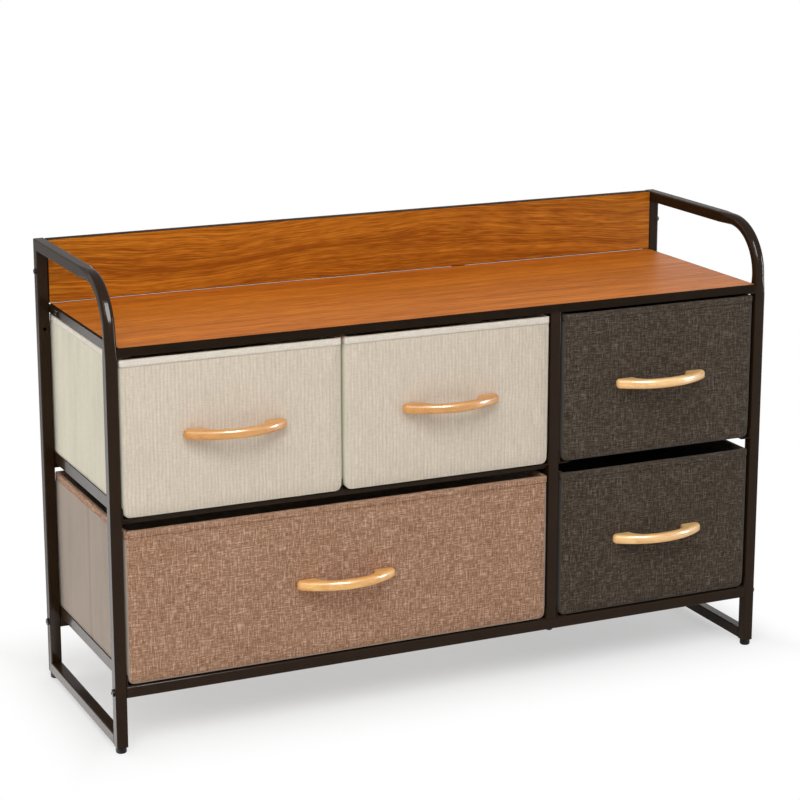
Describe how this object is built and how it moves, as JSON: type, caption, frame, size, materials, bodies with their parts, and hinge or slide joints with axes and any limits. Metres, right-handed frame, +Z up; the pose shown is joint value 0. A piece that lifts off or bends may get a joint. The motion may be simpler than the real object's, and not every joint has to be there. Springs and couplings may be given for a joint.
{
  "type": "fabric drawer dresser",
  "caption": "Low dresser with a dark steel tube frame, wood-grain top and back board, and fabric drawers with wooden bow handles that slide out.",
  "frame": {"origin": "on the floor, under the middle of the whole part with its drawers shut", "axes": "+X to the right seen from the front, +Y to the back, +Z up"},
  "size_m": [1.006, 0.354, 0.647],
  "materials": {
    "frame_steel": "glossy dark brown powder coat",
    "board_wood": "satin wood-grain laminate",
    "board_edging": "satin dark edge band",
    "foot_plastic": "matte",
    "bolt_steel": "black",
    "insert_plastic": "matte",
    "beige_fabric": "ribbed linen",
    "tan_fabric": "slubbed linen",
    "charcoal_fabric": "slubbed linen",
    "stiffener_board": "plain fibreboard",
    "base_board": "fabric-covered fibreboard",
    "handle_wood": "lacquered light wood",
    "screw_steel": "plated"
  },
  "bodies": {
    "frame": {"left_bent_tube": "frame_steel", "left_rear_post": "frame_steel", "left_foot_rail": "frame_steel", "left_upper_angle": "frame_steel", "left_middle_runner": "frame_steel", "left_lower_runner": "frame_steel", "right_bent_tube": "frame_steel", "right_rear_post": "frame_steel", "right_foot_rail": "frame_steel", "right_upper_angle": "frame_steel", "right_middle_runner": "frame_steel", "right_lower_runner": "frame_steel", "front_lower_crossbar": "frame_steel", "rear_lower_crossbar": "frame_steel", "front_middle_crossbar": "frame_steel", "rear_middle_crossbar_left": "frame_steel", "rear_middle_crossbar_right": "frame_steel", "front_middle_post": "frame_steel", "rear_middle_post": "frame_steel", "centre_runner": "frame_steel", "divider_middle_runner_left": "frame_steel", "divider_middle_runner_right": "frame_steel", "divider_lower_runner_left": "frame_steel", "divider_lower_runner_right": "frame_steel", "top_board": "board_wood", "back_board": "board_wood", "top_board_edging": "board_edging", "back_board_edging": "board_edging", "foot_plugs": "foot_plastic", "frame_bolts": "bolt_steel", "board_bolts": "bolt_steel", "tube_inserts": "insert_plastic", "post_pins": "insert_plastic"},
    "upper_left_drawer": {"upper_left_sleeve": "beige_fabric", "upper_left_stiffeners": "stiffener_board", "upper_left_base_board": "base_board", "upper_left_handle": "handle_wood", "upper_left_handle_screws": "screw_steel"},
    "upper_middle_drawer": {"upper_middle_sleeve": "beige_fabric", "upper_middle_stiffeners": "stiffener_board", "upper_middle_base_board": "base_board", "upper_middle_handle": "handle_wood", "upper_middle_handle_screws": "screw_steel"},
    "upper_right_drawer": {"upper_right_sleeve": "charcoal_fabric", "upper_right_stiffeners": "stiffener_board", "upper_right_base_board": "base_board", "upper_right_handle": "handle_wood", "upper_right_handle_screws": "screw_steel"},
    "lower_wide_drawer": {"lower_wide_sleeve": "tan_fabric", "lower_wide_stiffeners": "stiffener_board", "lower_wide_base_board": "base_board", "lower_wide_handle": "handle_wood", "lower_wide_handle_screws": "screw_steel"},
    "lower_right_drawer": {"lower_right_sleeve": "charcoal_fabric", "lower_right_stiffeners": "stiffener_board", "lower_right_base_board": "base_board", "lower_right_handle": "handle_wood", "lower_right_handle_screws": "screw_steel"}
  },
  "joints": [
    {"name": "upper_left_slide", "type": "slide", "parent": "frame", "child": "upper_left_drawer", "axis": [0, -1, 0], "range_m": [0, 0.24]},
    {"name": "upper_middle_slide", "type": "slide", "parent": "frame", "child": "upper_middle_drawer", "axis": [0, -1, 0], "range_m": [0, 0.24]},
    {"name": "upper_right_slide", "type": "slide", "parent": "frame", "child": "upper_right_drawer", "axis": [0, -1, 0], "range_m": [0, 0.24]},
    {"name": "lower_wide_slide", "type": "slide", "parent": "frame", "child": "lower_wide_drawer", "axis": [0, -1, 0], "range_m": [0, 0.24]},
    {"name": "lower_right_slide", "type": "slide", "parent": "frame", "child": "lower_right_drawer", "axis": [0, -1, 0], "range_m": [0, 0.24]}
  ]
}
